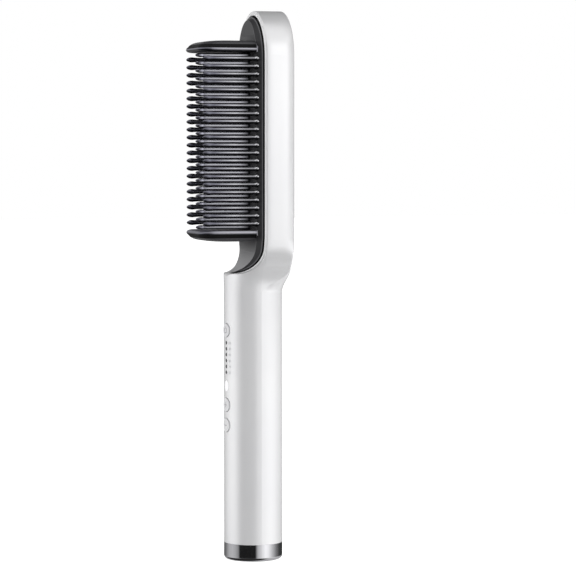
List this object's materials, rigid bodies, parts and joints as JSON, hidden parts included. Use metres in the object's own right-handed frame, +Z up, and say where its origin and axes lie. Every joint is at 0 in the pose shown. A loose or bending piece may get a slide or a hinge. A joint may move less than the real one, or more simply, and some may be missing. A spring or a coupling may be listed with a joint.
{
  "type": "hair straightening brush",
  "caption": "Hand-held hair straightening brush: round handle with push buttons and lights, and a flat oval head whose heated comb stands between two guard combs.",
  "frame": {"origin": "centre of the end cap's flat bottom, where the cord bore opens", "axes": "+Z up the handle to the tip of the head, -Y the way the teeth point, X across the head"},
  "size_m": [0.0474, 0.0489, 0.29],
  "materials": {
    "white_shell": "glossy white moulded shell",
    "white_button": "satin white moulded key",
    "dark_chrome": "black chrome plating, mirror bright",
    "black_nylon": "matte black",
    "brass": "bright",
    "natural_plastic": "natural moulded plastic",
    "circuit_board": "green solder mask",
    "steel": "zinc plated",
    "black_component": "moulded black package",
    "smoked_guide": "smoked clear plastic",
    "led_package": "pale package",
    "milky_lens": "milky translucent plastic",
    "green_terminal": "moulded green",
    "yellow_component": "moulded yellow box",
    "ceramic_tube": "white glazed",
    "lead_insulation": "silicone insulation",
    "dark_frame": "satin dark grey heat resistant plastic",
    "dark_teeth": "glossy dark blue grey",
    "coated_aluminium": "glossy ceramic coated die casting",
    "heater_ceramic": "white ceramic heater",
    "sheet_steel": "plain sheet",
    "mica": "mica sheet",
    "grey_metal": "satin grey metallic",
    "grey_panel": "glossy blue grey"
  },
  "bodies": {
    "brush": {"housing": "white_shell", "end_cap": "dark_chrome", "swivel_retainer": "black_nylon", "contact_carrier": "black_nylon", "spring_contacts": "brass", "chassis": "natural_plastic", "control_board": "circuit_board", "board_screws": "steel", "switch_bodies": "black_component", "light_guide": "smoked_guide", "led_chips": "led_package", "status_lens": "milky_lens", "terminal_blocks": "green_terminal", "film_capacitor": "yellow_component", "fuse_tube": "ceramic_tube", "power_triac": "black_component", "microcontroller": "black_component", "mains_leads": "lead_insulation", "heater_leads": "lead_insulation", "thermistor_leads": "lead_insulation", "comb_frame": "dark_frame", "side_comb_left": "dark_teeth", "side_comb_right": "dark_teeth", "end_guard_upper": "dark_teeth", "end_guard_lower": "dark_teeth", "heated_comb": "coated_aluminium", "heater_strip": "heater_ceramic", "heater_clamp": "sheet_steel", "clamp_screws": "steel", "thermistor": "black_component", "thermal_fuse": "ceramic_tube", "insulation_board": "mica", "back_bezel": "grey_metal", "back_panel": "grey_panel", "frame_screws": "steel"},
    "power_key": {"power_button": "white_button", "power_plunger": "black_component"},
    "temperature_up_key": {"temperature_up_button": "white_button", "temperature_up_plunger": "black_component"},
    "temperature_down_key": {"temperature_down_button": "white_button", "temperature_down_plunger": "black_component"},
    "cord_swivel_spool": {"swivel_gland": "black_nylon", "slip_rings": "brass"}
  },
  "joints": [
    {"name": "power_button_press", "type": "slide", "parent": "brush", "child": "power_key", "axis": [-0.1305, 0.9914, 0], "range_m": [0, 0.0004], "stiffness_N_per_m": 1500, "springref_m": -0.0003},
    {"name": "temperature_up_press", "type": "slide", "parent": "brush", "child": "temperature_up_key", "axis": [-0.1305, 0.9914, 0], "range_m": [0, 0.0004], "stiffness_N_per_m": 1500, "springref_m": -0.0003},
    {"name": "temperature_down_press", "type": "slide", "parent": "brush", "child": "temperature_down_key", "axis": [-0.1305, 0.9914, 0], "range_m": [0, 0.0004], "stiffness_N_per_m": 1500, "springref_m": -0.0003},
    {"name": "cord_swivel_turn", "type": "hinge", "parent": "brush", "child": "cord_swivel_spool", "pos_m": [0, 0, 0.004], "axis": [0, 0, 1], "continuous": true}
  ]
}
